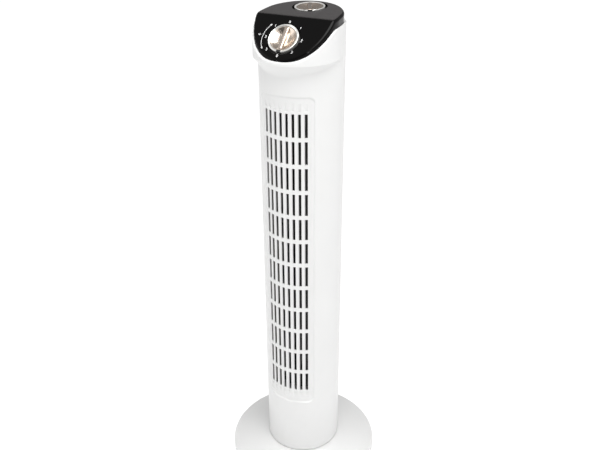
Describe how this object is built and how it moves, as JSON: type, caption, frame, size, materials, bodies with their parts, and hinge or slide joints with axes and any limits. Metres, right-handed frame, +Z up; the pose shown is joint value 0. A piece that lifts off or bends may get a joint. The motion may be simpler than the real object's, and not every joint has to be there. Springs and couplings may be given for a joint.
{
  "type": "tower fan",
  "caption": "Free-standing tower fan: round base, column that swings on it, slotted outlet with a cross-flow impeller behind, and a slanted head with a selector knob and a timer knob.",
  "frame": {"origin": "on the floor, at the centre of the round base, which is also the column's swing axis", "axes": "+Z up along the column, -Y out of the air outlet, +X to the right of someone who faces the outlet"},
  "size_m": [0.245, 0.245, 0.7623],
  "materials": {
    "shell_white": "satin, off-white",
    "cap_black": "polished, black",
    "knob_satin": "satin, brushed across the face",
    "knob_chrome": "polished",
    "frame_grey": "moulded, matt",
    "plate_dark": "moulded, fine grain",
    "duct_brown_grey": "moulded, matt",
    "impeller_black": "moulded, slight sheen",
    "rubber_black": "matt",
    "bearing_plastic": "waxy",
    "steel": "zinc plated",
    "lamination": "stamped sheets, oiled",
    "bronze": "sintered",
    "cable_black": "sheathed wire bundle"
  },
  "bodies": {
    "base": {"base_cover": "shell_white", "base_plate": "plate_dark", "rubber_feet": "rubber_black", "pivot_seat": "frame_grey", "glide_ring": "bearing_plastic", "thrust_washer": "bearing_plastic", "retaining_nut": "steel", "cord_grommet": "rubber_black", "base_screws": "steel", "seat_screws": "steel"},
    "column": {"column_foot": "frame_grey", "front_shell": "shell_white", "rear_cover": "shell_white", "outlet_grille": "shell_white", "control_cap": "cap_black", "air_duct": "duct_brown_grey", "stabilizer": "duct_brown_grey", "motor_deck": "frame_grey", "bearing_deck": "frame_grey", "bearing_rubber": "rubber_black", "bearing_bush": "bronze", "motor_housing": "steel", "motor_stator": "lamination", "motor_mounts": "rubber_black", "capacitor": "bearing_plastic", "swing_motor": "steel", "swing_motor_screws": "steel", "terminal_block": "bearing_plastic", "wire_harness": "cable_black", "selector_switch": "plate_dark", "timer_unit": "steel", "switch_nuts": "steel", "shell_screws": "steel", "foot_screws": "steel", "deck_screws": "steel"},
    "impeller": {"impeller": "impeller_black", "impeller_pin": "steel", "motor_shaft": "steel", "motor_rotor": "lamination", "hub_screw": "steel"},
    "selector": {"selector_knob": "knob_satin", "selector_trim": "knob_chrome", "selector_shaft": "steel"},
    "timer": {"timer_knob": "knob_satin", "timer_trim": "knob_chrome", "timer_shaft": "steel"},
    "crank": {"swing_crank": "bearing_plastic", "crank_sleeve": "bearing_plastic"}
  },
  "joints": [
    {"name": "column_swing", "type": "hinge", "parent": "base", "child": "column", "pos_m": [0, 0, 0.05], "axis": [0, 0, 1], "range_deg": [-30, 30]},
    {"name": "impeller_spin", "type": "hinge", "parent": "column", "child": "impeller", "pos_m": [0, 0.004, 0.4], "axis": [0, 0, 1], "continuous": true},
    {"name": "selector_turn", "type": "hinge", "parent": "column", "child": "selector", "pos_m": [-0.0038, -0.0461, 0.73184], "axis": [0, -0.682, 0.7314], "continuous": true},
    {"name": "timer_turn", "type": "hinge", "parent": "column", "child": "timer", "pos_m": [0, 0.026, 0.75982], "axis": [0, 0.0698, -0.9976], "range_deg": [-35, 290]},
    {"name": "crank_turn", "type": "hinge", "parent": "column", "child": "crank", "pos_m": [0, 0.0285, 0.045], "axis": [0, 0, 1], "range_deg": [-105, 105]}
  ],
  "couplings": [
    {"joint": "crank_turn", "follows": "column_swing", "ratio": -3.5}
  ]
}
